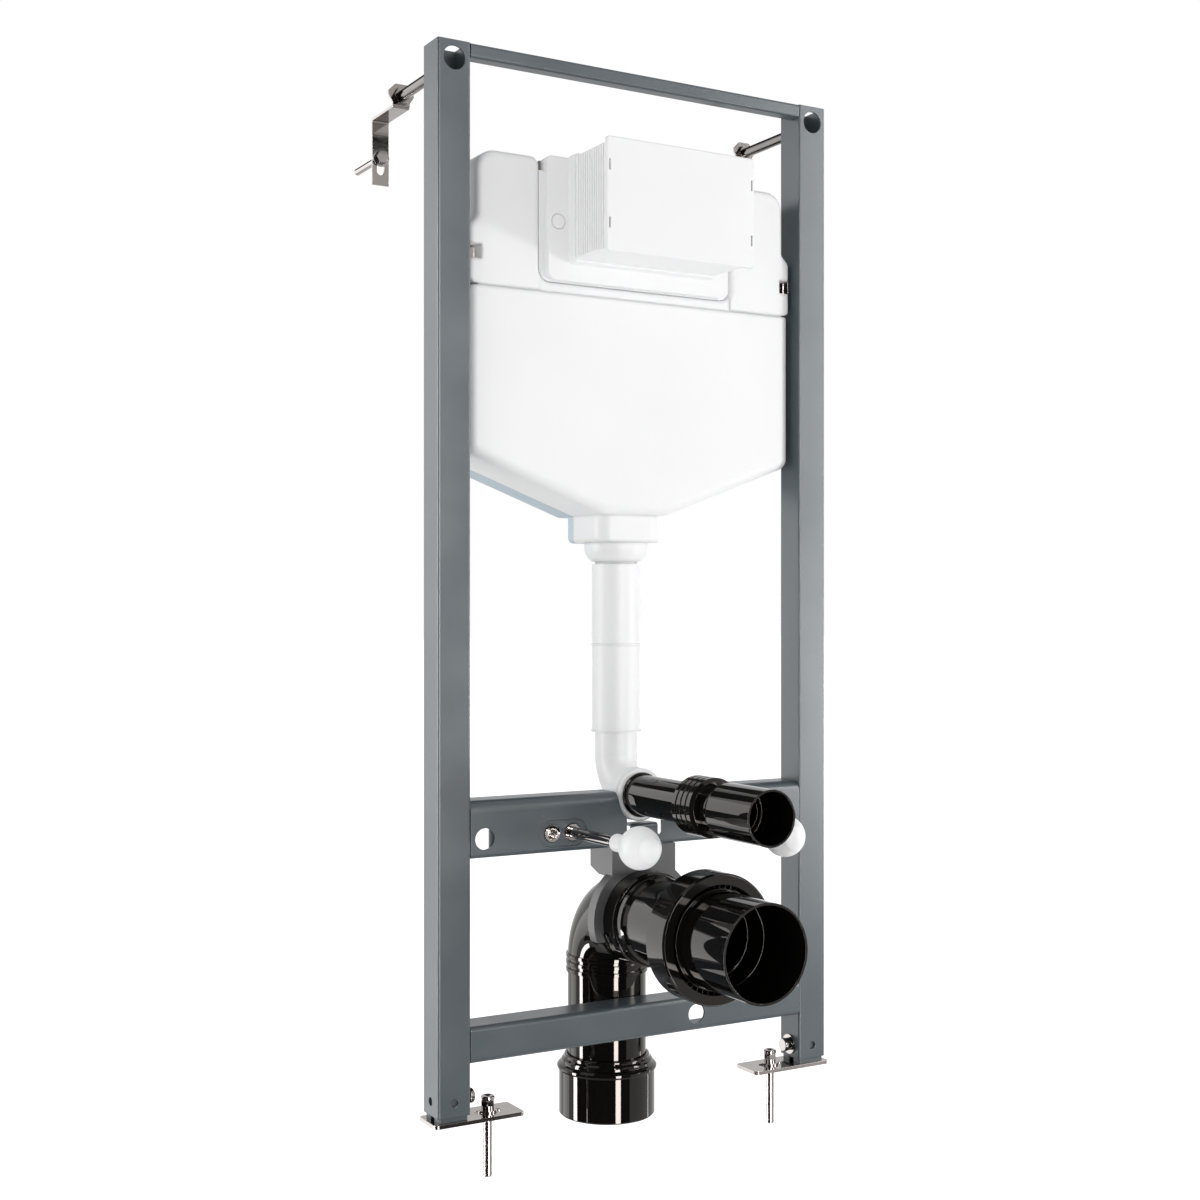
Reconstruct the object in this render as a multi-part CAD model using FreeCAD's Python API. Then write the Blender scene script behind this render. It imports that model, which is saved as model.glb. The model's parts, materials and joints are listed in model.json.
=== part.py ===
import FreeCAD
import Part
import math
import os

# Wall hung toilet frame: a steel frame on telescopic feet that carries a concealed cistern,
# the flush pipe, the waste bend and the two studs for the pan.
# Millimetres. While modelling, x = 0 is the centre plane, y = 0 the front faces of the uprights
# and z = 0 the floor. Every piece is moved at the end so that the origin of the part lies on
# the back of the left wall bracket.

V = FreeCAD.Vector

# Uprights: square tubes, open at the top
frame_width = 500.0
tube_size = 37.5
tube_wall = 2.0
tube_corner = 2.4
upright_length = 1119.0
cladding_hole_r = 12.5
cladding_hole_drop = 18.6
small_hole_r = 4.5
clamp_height = 14.5

# Telescopic feet
foot_show = 5.5
foot_length = 330.0
foot_clearance = 0.4
foot_wall = 2.5
plate_thickness = 4.0
plate_length = 104.0
plate_depth = 42.0
plate_overhang = 4.0
plate_corner = 4.5
drain_notch_width = 9.0
drain_notch_height = 5.0
anchor_reach = 47.5
anchor_r = 4.8
anchor_shoulder_r = 5.0
anchor_shoulder = 3.0
anchor_depth = 65.0
anchor_hole_r = 5.5
anchor_slot = 30.0
anchor_washer_r = 9.5
anchor_washer = 2.0
anchor_sleeve_r = 6.6
anchor_sleeve = 4.5
anchor_nut_flats = 13.0
anchor_nut = 6.0
anchor_head_r = 7.3
anchor_head = 4.5
anchor_dish_r = 5.0
anchor_dish = 1.5
anchor_tip = 1.6
clamp_bolt_r = 4.0
clamp_flange_r = 11.5
clamp_flange = 2.0
clamp_flats = 13.0
clamp_nut = 4.8
clamp_head_r = 7.8
clamp_head = 4.0
clamp_gap = 0.3

# Top bar: a folded lipped angle
top_bar_height = 15.0
top_bar_depth = 37.0
top_bar_flat = 15.0
top_bar_lip = 30.0
top_bar_rise = 6.0
sheet = 2.0
fold_r = 3.0
joint_gap = 0.3

# Heights that belong together: the flush axis, the cistern's outlet over it, the studs and
# the waste axis under it
flush_height = 331.0
outlet_over_flush = 281.5
flush_over_studs = 35.0
flush_over_waste = 135.0

# Stud bar: a channel open at the back, with the bushes for the studs
stud_bar_below = 20.0
stud_bar_height = 60.0
bar_depth = 37.0
bar_sheet = 2.5
stud_bar_top_r = 12.0
stud_bar_low_r = 4.0
bar_hole_r = 11.3
bar_hole_inset = 16.5
outer_spacing = 230.0
bush_pair = 25.0
bush_r = 9.0
bush_bore_r = 6.1
bush_depth = 18.0
bush_lip = 1.0
bush_ring = 0.7
bush_gap = 0.05
recess_length = 59.0
recess_height = 29.0
recess_depth = 1.6
backing_inward = 60.0
backing_outward = 86.0
backing_margin = 4.0
backing_rise = 22.0
backing_thickness = 3.0
notch_r = 33.0
notch_slot = 22.5
notch_floor = 2.0
tab_half = 17.4
tab_slit = 13.3
tab_root = 9.0
tab_depth = 20.0
tab_bend_r = 4.0

# Bottom bar: a channel open at the back
bottom_bar_low = 62.0
bottom_bar_height = 38.0
bottom_bar_r = 5.0
bottom_hole_x = 69.0
bottom_hole_r = 10.8

# Studs for the pan and their caps
stud_r = 6.0
stud_held_r = 5.7
stud_out = 132.0
stud_in = 30.0
stud_free_out = 85.0
stud_free_in = 5.0
cap_neck_r = 9.3
cap_neck_reach = 48.0
cap_neck_round = 3.0
cap_bulb_r = 22.0
cap_bulb_at = 138.0
cap_cone_turn = 40.0
cap_cone = 6.5
cap_dome = 3.0
cap_bore_gap = 0.2

# Wall ties
tie_drop = 22.3
rod_r = 6.0
rod_end = 148.0
tie_tab_y = 139.0
tie_tab_width = 30.0
tie_tab_height = 27.0
tie_tab_cut = 8.0
tie_sheet = 2.5
tie_width = 20.0
tie_leg_drop = 10.2
wall_distance = 201.5
tie_leg = 75.0
tie_bend_r = 4.0
held_drop = 16.0
tie_nut_flats = 17.0
tie_nut = 4.5
tie_rod_hole_gap = 0.25
screw_up = 31.0
screw_r = 4.0
screw_shoulder_r = 4.2
screw_shoulder = 3.0
screw_depth = 68.0
screw_slot_r = 4.5
screw_slot = 24.0
screw_washer_r = 10.0
screw_washer = 1.8
screw_flats = 13.0
screw_head = 5.5

# Cistern
tank_margin = 4.0
tank_front = 13.0
tank_back = 88.0
layer_back = 122.0
neck_layer = 12.0
tank_drop = 248.7
tank_slope = 0.371
tank_round = 12.0
tank_low_r = 14.0
neck_half = 41.5
neck_corner = 20.0
neck_low_r = 5.0
neck_overlap = 20.0
neck_front = 24.0
neck_rise = 92.0
seam_gap = 2.0
hood_height = 145.2
hood_inset = 10.0
hood_step_over_tank = 63.2
hood_step_rise = 10.0
hood_step_r = 8.0
hood_round = 6.0
hood_low_r = 10.0
seam_depth = 12.0
seam_front_depth = 1.5
tank_top_r = 7.0
lobe_notch = 14.0
lobe_outer_r = 22.0
lobe_inner_r = 10.0
groove = 7.0
groove_low = 1.5
apron_recess = 1.5
hood_side = 1.5
clip_over_tank = 27.7
clip_height = 15.5
clip_recess = 15.5
clip_slant = 3.0
clip_depth = 12.0
clip_sheet = 1.2
clip_lip = 9.0
clip_gap = 0.3
panel_half = 117.0
panel_over_tank = 13.2
panel_front = 8.0
panel_thickness = 14.0
panel_corner = 12.0
panel_top_r = 5.0
panel_rise = 1.5
panel_edge = 1.2
rim_depth = 3.5
rim_gap = 0.3
knock_out_r = 8.5
knock_out_x = -104.0
knock_out_over_tank = 76.2
knock_out_groove = 0.8

# Access box and its cover
access_half = 93.5
access_over_tank = 30.2
access_height = 120.0
access_front = -78.0
cover_thickness = 4.0
cover_corner = 4.0
cover_edge = 1.0
cover_slot_x = 89.8
cover_slot_at = 30.1
cover_slot_height = 11.5
cover_slot_width = 2.0
cover_tab_height = 20.0
cover_tab_depth = 3.0
cover_tab_sheet = 1.6
box_inset = 3.5
rib_count = 13
rib_pitch = 4.8
rib_width = 2.4
rib_height = 1.6
base_border = 2.0
base_thickness = 14.0

# Flush pipe
flush_y = 62.0
nut_r = 36.5
nut_low_r = 23.9
nut_height = 21.6
nut_step = 4.5
nut_tail = 30.0
nut_wall = 3.0
nut_facets = 5
flush_r = 27.5
flush_bore = 24.5
flush_drop = 24.5
flush_over_elbow = 25.0
bead_drop = 91.0
bead = 1.0
elbow_r = 24.2
elbow_wall = 2.2
elbow_bend = 42.0
elbow_tail = 32.0
elbow_socket_r = 29.5
elbow_socket_front = 7.0
elbow_socket_length = 24.0
elbow_lip = 3.0
elbow_ring = 1.2
pipe_lip_r = 24.8
pipe_lip = 2.4
pipe_r = 22.5
pipe_wall = 2.0
pipe_gap = 0.3
flush_seal_back = -105.0
flush_seal_front = -141.0
flush_seal_r = 31.5
flush_seal_groove = 2.0
flush_seal_ribs = 4
flush_mouth = -239.0
flush_sleeve_r = 28.8
flush_sleeve_wall = 2.0
flush_sleeve_back = -165.0
flush_sleeve_taper = 8.0
flush_seat = 20.0
flush_overlap = 6.0

# Waste
waste_y = 83.0
waste_r = 45.0
waste_wall = 3.0
waste_bend_r = 58.0
waste_gap = 0.3
bend_socket_front = -21.0
bend_socket_back = 8.0
bend_socket_r = 52.0
bend_socket_taper = 4.0
bend_rib_drop = 15.0
bend_rib_pitch = 8.0
bend_rib_width = 4.0
bend_rib = 2.0
bend_ribs = 3
bend_tail = 6.0
outlet_top = 28.5
outlet_shoulder_r = 52.5
outlet_shoulder = 22.0
outlet_bead_r = 57.2
outlet_bead_z = 14.0
outlet_bead_half = 3.5
outlet_r = 55.0
outlet_wall = 4.0
outlet_low = -40.0
connector_front = -136.0
connector_ring_r = 49.0
connector_ring_front = -32.0
connector_ring_taper = 5.0
collar_front = -148.0
collar_thickness = 35.0
collar_r = 68.75
collar_edge = 2.0
collar_rim = 11.7
collar_dish = 20.0
collar_hub = 1.5
collar_ribs = 48
collar_rib = 1.0
mouth_front = -230.0
mouth_r = 51.0
mouth_wall = 2.5
mouth_back = -108.0
mouth_seat = 22.0
mouth_taper = 5.0
mouth_tail = 14.0
mouth_neck_wall = 3.0

# Bracket that holds the waste bend under the stud bar
saddle_half = 41.0
saddle_front = 0.7
saddle_back = 49.0
saddle_flange_rise = 47.0
saddle_flange_chamfer = 7.0
saddle_flange_short = 19.0
saddle_sheet = 2.5
saddle_r = 64.0
saddle_depth = 14.0
saddle_drop = 23.0

post_x = frame_width / 2 - tube_size / 2
inner_face = frame_width / 2 - tube_size
tank_half = inner_face - tank_margin
hood_half = tank_half - hood_inset
pocket_half = panel_half + groove
bar_hole_x = inner_face - bar_hole_inset
post_y = tube_size / 2
upright_low = plate_thickness + foot_show
upright_top = upright_low + upright_length
tank_top = upright_top - tank_drop
hood_top = tank_top + hood_height
hood_step = tank_top + hood_step_over_tank
clip_low = tank_top + clip_over_tank
clip_high = clip_low + clip_height
panel_low = tank_top + panel_over_tank
knock_out_z = tank_top + knock_out_over_tank
access_low = tank_top + access_over_tank
access_high = access_low + access_height
neck_low = flush_height + outlet_over_flush
tank_corner_height = neck_low + neck_rise
clamp_z = upright_low + clamp_height
tie_z = upright_top - tie_drop
leg_z = tie_z - tie_leg_drop
screw_z = leg_z - tie_leg + screw_up
waste_height = flush_height - flush_over_waste
stud_height = flush_height - flush_over_studs
stud_spacing = outer_spacing - 2 * bush_pair
stud_bar_low = stud_height - stud_bar_below
tab_top = flush_height - notch_r + notch_floor
elbow_turn_z = flush_height + elbow_bend
flush_low = elbow_turn_z + flush_over_elbow
flush_top = neck_low - flush_drop
bead_height = flush_top - bead_drop
saddle_hole_r = bend_socket_r + waste_gap
stud_bar_top = stud_bar_low + stud_bar_height
anchor_x = post_x - anchor_reach
row_origin = V(-post_x, wall_distance, leg_z - held_drop)


def block(x0, x1, y0, y1, z0, z1):
    """A box between two corners."""
    return Part.makeBox(x1 - x0, y1 - y0, z1 - z0, V(x0, y0, z0))


def rod(r, start, end):
    """A round bar between two points."""
    line = end - start
    return Part.makeCylinder(r, line.Length, start, line)


def rounded(corners, place):
    """A closed wire through (u, v, radius) corners, rounded by their radii; place makes the 3-D point."""
    count = len(corners)
    starts = []
    ends = []
    middles = []
    for i in range(count):
        u, v, r = corners[i]
        here = V(u, v, 0)
        if r == 0:
            starts.append(here)
            middles.append(here)
            ends.append(here)
            continue
        back = V(corners[i - 1][0], corners[i - 1][1], 0).sub(here)
        ahead = V(corners[(i + 1) % count][0], corners[(i + 1) % count][1], 0).sub(here)
        back.normalize()
        ahead.normalize()
        half = back.getAngle(ahead) / 2
        cut = r / math.tan(half)
        starts.append(here + back * cut)
        ends.append(here + ahead * cut)
        inward = back + ahead
        inward.normalize()
        middles.append(here + inward * (r / math.sin(half) - r))
    edges = []
    for i in range(count):
        following = (i + 1) % count
        if corners[i][2] > 0:
            arc = [place(p.x, p.y) for p in (starts[i], middles[i], ends[i])]
            edges.append(Part.Arc(*arc).toShape())
        if (starts[following] - ends[i]).Length > 1e-6:
            a = place(ends[i].x, ends[i].y)
            b = place(starts[following].x, starts[following].y)
            edges.append(Part.LineSegment(a, b).toShape())
    return Part.Wire(edges)


def prism(corners, place, along):
    """A rounded outline pushed along a vector."""
    return Part.Face(rounded(corners, place)).extrude(along)


def front_prism(corners, y0, y1):
    """An outline in the front view, (x, z, radius), from y0 to y1."""
    return prism(corners, lambda x, z: V(x, y0, z), V(0, y1 - y0, 0))


def side_prism(corners, x0, x1):
    """An outline in the side view, (y, z, radius), from x0 to x1."""
    return prism(corners, lambda y, z: V(x0, y, z), V(x1 - x0, 0, 0))


def plan_prism(corners, z0, z1):
    """An outline in the plan view, (x, y, radius), from z0 to z1."""
    return prism(corners, lambda x, y: V(x, y, z0), V(0, 0, z1 - z0))


def rectangle(u0, u1, v0, v1, r):
    """Corners of a rectangle with one corner radius."""
    return [(u0, v0, r), (u1, v0, r), (u1, v1, r), (u0, v1, r)]


def turned(profile, place, centre, axis):
    """A profile of (along, radius) points turned about an axis; a third value chamfers its point."""
    points = []
    count = len(profile)
    for i in range(count):
        here = V(profile[i][0], profile[i][1], 0)
        if len(profile[i]) == 2:
            points.append(here)
            continue
        for other in (profile[i - 1], profile[(i + 1) % count]):
            side = V(other[0], other[1], 0) - here
            side.normalize()
            points.append(here + side * profile[i][2])
    places = [place(p.x, p.y) for p in points]
    return Part.Face(Part.makePolygon(places + places[:1])).revolve(centre, axis, 360)


def turned_y(profile, z):
    """A profile turned about the level axis at height z in the centre plane."""
    return turned(profile, lambda y, r: V(0, y, z + r), V(0, 0, z), V(0, 1, 0))


def turned_z(profile, y):
    """A profile turned about the upright axis at depth y in the centre plane."""
    return turned(profile, lambda z, r: V(0, y - r, z), V(0, y, 0), V(0, 0, 1))


def quarter_bend(r, bore, turn_y, turn_z, level_z):
    """A tube bent a quarter turn, from the level axis at level_z down or up to the upright axis."""
    start = V(0, turn_y, level_z)
    pivot = V(0, turn_y, turn_z)
    disc = Part.Face(Part.Wire(Part.makeCircle(r, start, V(0, 1, 0))))
    core = Part.Face(Part.Wire(Part.makeCircle(bore, start, V(0, 1, 0))))
    angle = -90 if level_z > turn_z else 90
    return disc.revolve(pivot, V(1, 0, 0), angle).cut(core.revolve(pivot, V(1, 0, 0), angle))


def hexagon(flats, start, end, turn=0.0):
    """A hexagonal prism between two points of a level line along x or y, or of an upright line."""
    line = end - start
    r = flats / math.sqrt(3)
    points = []
    for i in range(7):
        a = math.radians(60 * i + turn)
        points.append(V(r * math.cos(a), r * math.sin(a), 0))
    solid = Part.Face(Part.makePolygon(points)).extrude(V(0, 0, line.Length))
    solid.Placement = FreeCAD.Placement(start, FreeCAD.Rotation(V(0, 0, 1), line))
    return solid


def mirrored(shape):
    """The same piece on the other side of the centre plane."""
    return shape.mirror(V(0, 0, 0), V(1, 0, 0))


def both_sides(x0, x1, y0, y1, z0, z1):
    """A box on the right of the centre plane and its copy on the left."""
    box = block(x0, x1, y0, y1, z0, z1)
    return [box, mirrored(box)]


def channel(low, height, depth, thickness, top_r, low_r, x0, x1):
    """A folded channel, open at the back, between two places along x."""
    top = low + height
    section = [
        (0, low, low_r),
        (0, top, top_r),
        (depth, top, 0),
        (depth, top - thickness, 0),
        (thickness, top - thickness, top_r - thickness),
        (thickness, low + thickness, low_r - thickness),
        (depth, low + thickness, 0),
        (depth, low, 0),
    ]
    return side_prism(section, x0, x1)


def left_upright():
    """Square tube with the cladding hole, two small holes, the bolt hole and the tie hole."""
    x0 = -frame_width / 2
    x1 = x0 + tube_size
    outer = plan_prism(rectangle(x0, x1, 0, tube_size, tube_corner), upright_low, upright_top)
    inner_r = tube_corner - tube_wall
    inner = plan_prism(
        rectangle(x0 + tube_wall, x1 - tube_wall, tube_wall, tube_size - tube_wall, inner_r),
        upright_low,
        upright_top,
    )
    tube = outer.cut(inner)
    hole_z = upright_top - cladding_hole_drop
    holes = [
        rod(cladding_hole_r, V(-post_x, -1, hole_z), V(-post_x, tube_wall + 1, hole_z)),
        rod(small_hole_r, V(-post_x, -1, clamp_z), V(-post_x, tube_wall + 1, clamp_z)),
        rod(small_hole_r, V(x0 - 1, post_y, clamp_z), V(x0 + tube_wall + 1, post_y, clamp_z)),
        rod(clamp_bolt_r + bush_gap, V(x1 - tube_wall - 1, post_y, clamp_z), V(x1 + 1, post_y, clamp_z)),
        rod(rod_r + bush_gap, V(-post_x, tube_size - tube_wall - 1, tie_z), V(-post_x, tube_size + 1, tie_z)),
    ]
    return tube.cut(holes)


def left_foot_tube():
    """Inner tube that slides down out of the upright, with drain notches at its foot."""
    half = tube_size / 2 - tube_wall - foot_clearance
    corner = tube_corner - tube_wall
    x0 = -post_x - half
    x1 = -post_x + half
    y0 = post_y - half
    y1 = post_y + half
    top = plate_thickness + foot_length
    outer = plan_prism(rectangle(x0, x1, y0, y1, corner + foot_wall / 4), plate_thickness, top)
    inner = block(x0 + foot_wall, x1 - foot_wall, y0 + foot_wall, y1 - foot_wall, plate_thickness, top)
    notch = block(x0 - 1, x1 + 1, post_y - drain_notch_width / 2, post_y + drain_notch_width / 2,
                  plate_thickness, plate_thickness + drain_notch_height)
    return outer.cut([inner, notch])


def left_foot_plate():
    """Floor plate with rounded corners and the slot for the anchor."""
    x0 = -frame_width / 2 - plate_overhang
    x1 = x0 + plate_length
    y0 = post_y - plate_depth / 2
    y1 = post_y + plate_depth / 2
    plate = plan_prism(rectangle(x0, x1, y0, y1, plate_corner), 0, plate_thickness)
    half = anchor_slot / 2
    slot = rectangle(-anchor_x - half, -anchor_x + half, post_y - anchor_hole_r, post_y + anchor_hole_r,
                     anchor_hole_r)
    return plate.cut(plan_prism(slot, -1, plate_thickness + 1))


def left_foot_anchor():
    """Floor anchor: shank with a chamfered tip, washer, sleeve, nut and a round head with a dished top."""
    z = plate_thickness
    washer_top = z + anchor_washer
    sleeve_top = washer_top + anchor_sleeve
    head_low = sleeve_top + anchor_nut
    head_top = head_low + anchor_head
    body = turned_z(
        [
            (-anchor_depth, 0),
            (-anchor_depth, anchor_r - anchor_tip),
            (-anchor_depth + anchor_tip, anchor_r),
            (-anchor_shoulder, anchor_r),
            (-anchor_shoulder, anchor_shoulder_r),
            (z, anchor_shoulder_r),
            (z, anchor_washer_r),
            (washer_top, anchor_washer_r),
            (washer_top, anchor_sleeve_r),
            (sleeve_top, anchor_sleeve_r),
            (sleeve_top, 0),
        ],
        post_y,
    )
    head = turned_z(
        [
            (head_low, 0),
            (head_low, anchor_head_r, 1),
            (head_top, anchor_head_r, 1),
            (head_top, anchor_dish_r),
            (head_top - anchor_dish, 0),
        ],
        post_y,
    )
    nut = hexagon(anchor_nut_flats, V(0, post_y, sleeve_top), V(0, post_y, head_low))
    return body.multiFuse([nut, head]).removeSplitter().translated(V(-anchor_x, 0, 0))


def left_clamp_bolt():
    """Flanged bolt through the inner wall of the upright; its tip presses on the foot tube."""
    x = -inner_face
    tip = x - tube_wall - foot_clearance + clamp_gap
    flange_end = x + clamp_flange
    nut_end = flange_end + clamp_nut
    head_end = nut_end + clamp_head
    middle = [V(place, post_y, clamp_z) for place in (tip, x, flange_end, nut_end, head_end)]
    shank = rod(clamp_bolt_r, middle[0], middle[1])
    flange = rod(clamp_flange_r, middle[1], middle[2])
    nut = hexagon(clamp_flats, middle[2], middle[3])
    head = rod(clamp_head_r, middle[3], middle[4])
    head = head.makeChamfer(1, [e for e in head.Edges if abs(e.CenterOfMass.x - head_end) < 1e-6])
    return shank.multiFuse([flange, nut, head]).removeSplitter()


def top_bar():
    """Folded bar between the uprights, with its lower flange rising to a lip."""
    top = upright_top
    low = top - top_bar_height
    section = [
        (0, low, fold_r),
        (0, top, fold_r),
        (top_bar_depth, top, 0),
        (top_bar_depth, top - sheet, 0),
        (sheet, top - sheet, fold_r - sheet),
        (sheet, low + sheet, fold_r - sheet),
        (top_bar_flat, low + sheet, 0),
        (top_bar_lip, low + sheet + top_bar_rise, 0),
        (top_bar_lip, low + top_bar_rise, 0),
        (top_bar_flat, low, 0),
    ]
    return side_prism(section, -inner_face + joint_gap, inner_face - joint_gap)


def stud_tab():
    """Tab of the stud bar that is bent back under the flush pipe."""
    section = [
        (0, tab_top - tab_root, 0),
        (0, tab_top, tab_bend_r),
        (tab_depth, tab_top, 0),
        (tab_depth, tab_top - bar_sheet, 0),
        (bar_sheet, tab_top - bar_sheet, tab_bend_r - bar_sheet),
        (bar_sheet, tab_top - tab_root, 0),
    ]
    return side_prism(section, -tab_half, tab_half)


def bush_recess(x):
    """Outline of the pressed recess round a pair of bushes."""
    half = recess_length / 2
    low = stud_height - recess_height / 2
    return rectangle(x - half, x + half, low, low + recess_height, recess_height / 2)


def stud_bar():
    """Channel with the notch for the flush pipe, the bush holes in pressed recesses and two round holes."""
    bar = channel(stud_bar_low, stud_bar_height, bar_depth, bar_sheet, stud_bar_top_r, stud_bar_low_r,
                  -inner_face, inner_face)
    through = bar_depth + 1
    cuts = [
        rod(notch_r, V(0, -1, flush_height), V(0, through, flush_height)),
        block(-notch_slot, notch_slot, -1, through, tab_top - tab_root, stud_bar_top + 1),
    ]
    slit_r = (notch_slot - tab_half) / 2
    slit_z = tab_top - tab_slit + slit_r
    front = bar_sheet + 1
    for side in (-1, 1):
        slit_x = side * (tab_half + slit_r)
        cuts.append(rod(slit_r, V(slit_x, -1, slit_z), V(slit_x, front, slit_z)))
        cuts.append(block(slit_x - slit_r, slit_x + slit_r, -1, front, slit_z, tab_top - tab_root + 1))
        hole_x = side * bar_hole_x
        cuts.append(rod(bar_hole_r, V(hole_x, -1, stud_height), V(hole_x, front, stud_height)))
    bar = bar.cut(cuts).fuse(stud_tab())
    middle = (stud_spacing + outer_spacing) / 4
    for side in (-1, 1):
        outline = bush_recess(side * middle)
        bar = bar.cut(front_prism(outline, -1, recess_depth))
        bar = bar.fuse(front_prism(outline, bar_sheet, bar_sheet + recess_depth))
        for spacing in (stud_spacing, outer_spacing):
            hole_x = side * spacing / 2
            start = V(hole_x, -1, stud_height)
            bar = bar.cut(rod(bush_r + bush_ring, start, V(hole_x, through, stud_height)))
    return bar.removeSplitter()


def bush_backings():
    """Thick plates behind the face of the stud bar, each carrying two bushes."""
    middle = -(stud_spacing + outer_spacing) / 4
    y0 = bar_sheet + recess_depth
    y1 = y0 + backing_thickness
    outline = rectangle(middle - backing_outward, middle + backing_inward,
                        stud_bar_low + bar_sheet + backing_margin, stud_height + backing_rise, 3)
    plate = front_prism(outline, y0, y1)
    for spacing in (stud_spacing, outer_spacing):
        x = -spacing / 2
        plate = plate.cut(rod(bush_r + bush_gap, V(x, y0 - 1, stud_height), V(x, y1 + 1, stud_height)))
    return Part.makeCompound([plate, mirrored(plate)])


def bushes():
    """Four threaded bushes pressed in the stud bar and the backing plates."""
    turned = []
    for x in (-outer_spacing / 2, -stud_spacing / 2, stud_spacing / 2, outer_spacing / 2):
        start = V(x, recess_depth - bush_lip, stud_height)
        end = V(x, recess_depth + bush_depth, stud_height)
        bush = rod(bush_r, start, end)
        turned.append(bush.cut(rod(bush_bore_r, start - V(0, 1, 0), end + V(0, 1, 0))))
    return Part.makeCompound(turned)


def left_stud():
    """Threaded stud that carries the pan, a little thinner where the cap and the bush hold it."""
    x = -stud_spacing / 2
    core = rod(stud_held_r, V(x, -stud_out, stud_height), V(x, stud_in, stud_height))
    return core.fuse(rod(stud_r, V(x, -stud_free_out, stud_height), V(x, -stud_free_in, stud_height)))


def left_stud_cap():
    """White cap: a neck on the stud and a bulb with a blunt end over its tip, turned about the stud."""
    bore = stud_r + cap_bore_gap
    neck_start = -cap_bulb_at + cap_neck_reach
    turn = math.radians(cap_cone_turn)
    cone_start = V(0, -cap_bulb_at - cap_bulb_r * math.sin(turn), cap_bulb_r * math.cos(turn))
    cone_end = cone_start + V(0, -math.cos(turn), -math.sin(turn)) * cap_cone
    bulb_start = V(0, -cap_bulb_at + math.sqrt(cap_bulb_r ** 2 - cap_neck_r ** 2), cap_neck_r)
    dome_r = (cone_end.z ** 2 + cap_dome ** 2) / (2 * cap_dome)
    dome_turn = math.asin(cone_end.z / dome_r) / 2
    dome_drop = dome_r * (1 - math.cos(dome_turn))
    dome_middle = V(0, cone_end.y - cap_dome + dome_drop, dome_r * math.sin(dome_turn))
    tip = V(0, cone_end.y - cap_dome, 0)
    inside = V(0, -stud_out - 1, 0)
    corner = cap_neck_round * (1 - math.sqrt(0.5))
    neck_end = V(0, neck_start - cap_neck_round, cap_neck_r)
    neck_middle = V(0, neck_start - corner, cap_neck_r - corner)
    edges = [
        Part.makeLine(V(0, neck_start, bore), V(0, neck_start, cap_neck_r - cap_neck_round)),
        Part.Arc(V(0, neck_start, cap_neck_r - cap_neck_round), neck_middle, neck_end).toShape(),
        Part.makeLine(neck_end, bulb_start),
        Part.Arc(bulb_start, V(0, -cap_bulb_at, cap_bulb_r), cone_start).toShape(),
        Part.makeLine(cone_start, cone_end),
        Part.Arc(cone_end, dome_middle, tip).toShape(),
        Part.makeLine(tip, inside),
        Part.makeLine(inside, inside + V(0, 0, bore)),
        Part.makeLine(inside + V(0, 0, bore), V(0, neck_start, bore)),
    ]
    cap = Part.Face(Part.Wire(edges)).revolve(V(0, 0, 0), V(0, 1, 0), 360)
    return cap.translated(V(-stud_spacing / 2, 0, stud_height))


def bottom_bar():
    """Lower channel with one round hole."""
    bar = channel(bottom_bar_low, bottom_bar_height, bar_depth, bar_sheet, bottom_bar_r, bottom_bar_r,
                  -inner_face, inner_face)
    z = bottom_bar_low + bottom_bar_height / 2
    return bar.cut(rod(bottom_hole_r, V(bottom_hole_x, -1, z), V(bottom_hole_x, bar_sheet + 1, z)))


def left_wall_rod():
    """Threaded rod from the back wall of the upright to the wall bracket."""
    return rod(rod_r, V(-post_x, tube_size - tube_wall, tie_z), V(-post_x, rod_end, tie_z))


def left_wall_bracket():
    """Folded strip: a tab on the rod, a level leg and an upright leg that bears on the wall."""
    x0 = -post_x - tie_width / 2
    x1 = -post_x + tie_width / 2
    tab_end = tie_tab_y + tie_sheet
    face = wall_distance - tie_sheet
    section = [
        (tie_tab_y, leg_z - tie_sheet, tie_bend_r - 1),
        (tie_tab_y, leg_z + tie_bend_r, 0),
        (tab_end, leg_z + tie_bend_r, 0),
        (tab_end, leg_z, 0.5),
        (wall_distance, leg_z, tie_bend_r),
        (wall_distance, leg_z - tie_leg, 0),
        (face, leg_z - tie_leg, 0),
        (face, leg_z - tie_sheet, tie_bend_r - tie_sheet),
    ]
    strip = side_prism(section, x0, x1)
    left = -post_x - tie_tab_width / 2
    right = -post_x + tie_tab_width / 2
    low = leg_z + tie_bend_r - 1
    high = tie_z + tie_tab_height / 2
    tab_outline = [
        (x0, low, 0),
        (x1, low, 0),
        (right, low + tie_tab_cut, 1),
        (right, high - tie_tab_cut, 1),
        (right - tie_tab_cut, high, 1),
        (left + tie_tab_cut, high, 1),
        (left, high - tie_tab_cut, 1),
        (left, low + tie_tab_cut, 1),
    ]
    bracket = strip.fuse(front_prism(tab_outline, tie_tab_y, tab_end))
    rod_hole = rod(rod_r + tie_rod_hole_gap, V(-post_x, tie_tab_y - 1, tie_z), V(-post_x, tab_end + 1, tie_z))
    slot_low = screw_z - screw_slot + screw_slot_r
    slot_top = screw_z + screw_slot_r
    slot = rectangle(-post_x - screw_slot_r, -post_x + screw_slot_r, slot_low, slot_top, screw_slot_r)
    return bracket.cut([rod_hole, front_prism(slot, face - 1, wall_distance + 1)]).removeSplitter()


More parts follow.
